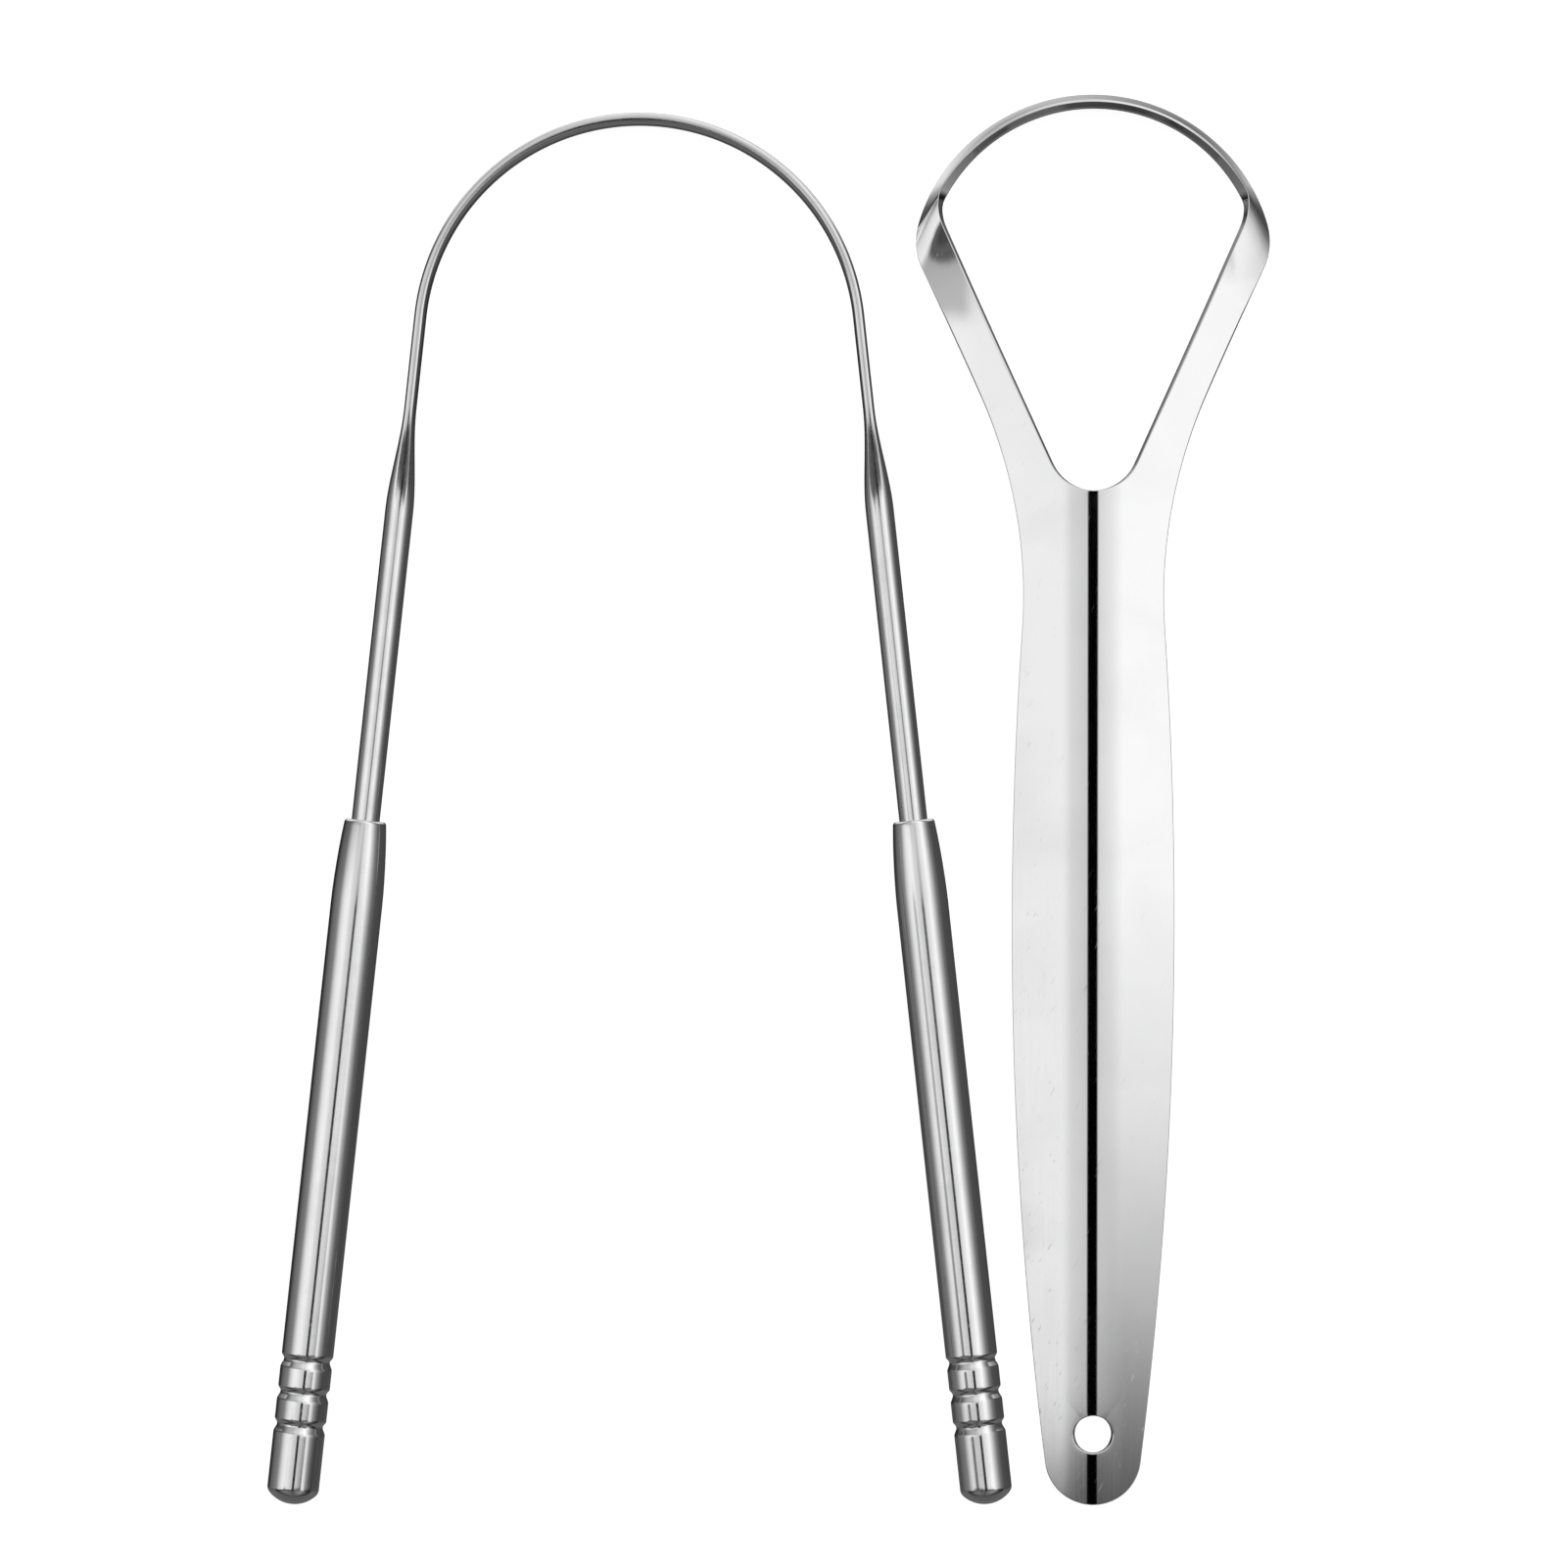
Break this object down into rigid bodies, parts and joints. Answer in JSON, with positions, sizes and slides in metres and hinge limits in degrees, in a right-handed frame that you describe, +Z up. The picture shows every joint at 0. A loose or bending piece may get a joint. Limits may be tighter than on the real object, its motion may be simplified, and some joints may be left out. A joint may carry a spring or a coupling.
{
  "type": "tongue scraper set",
  "caption": "Steel tongue scraper set: a sprung U-shaped scraper with tubular handles, lying beside a stamped loop scraper with a ridged flat handle and a hang hole.",
  "frame": {"origin": "on the surface that both tools lie on, in the middle of the set's box", "axes": "+X from the U-shaped scraper to the loop scraper, +Y from the handle ends to the scraping heads, +Z up"},
  "size_m": [0.1064, 0.1501, 0.0055],
  "materials": {
    "bow_steel": "polished stainless steel",
    "tube_steel": "polished stainless steel",
    "plug_steel": "polished stainless steel",
    "sheet_steel": "polished stainless steel"
  },
  "bodies": {
    "u_scraper": {"bow": "bow_steel", "left_handle_tube": "tube_steel", "right_handle_tube": "tube_steel", "left_end_plug": "plug_steel", "right_end_plug": "plug_steel"},
    "loop_scraper": {"loop_scraper": "sheet_steel"}
  },
  "joints": [
    {"name": "loop_scraper_lift", "type": "slide", "parent": "u_scraper", "child": "loop_scraper", "axis": [0, 0, 1], "range_m": [0, 0.06]}
  ]
}
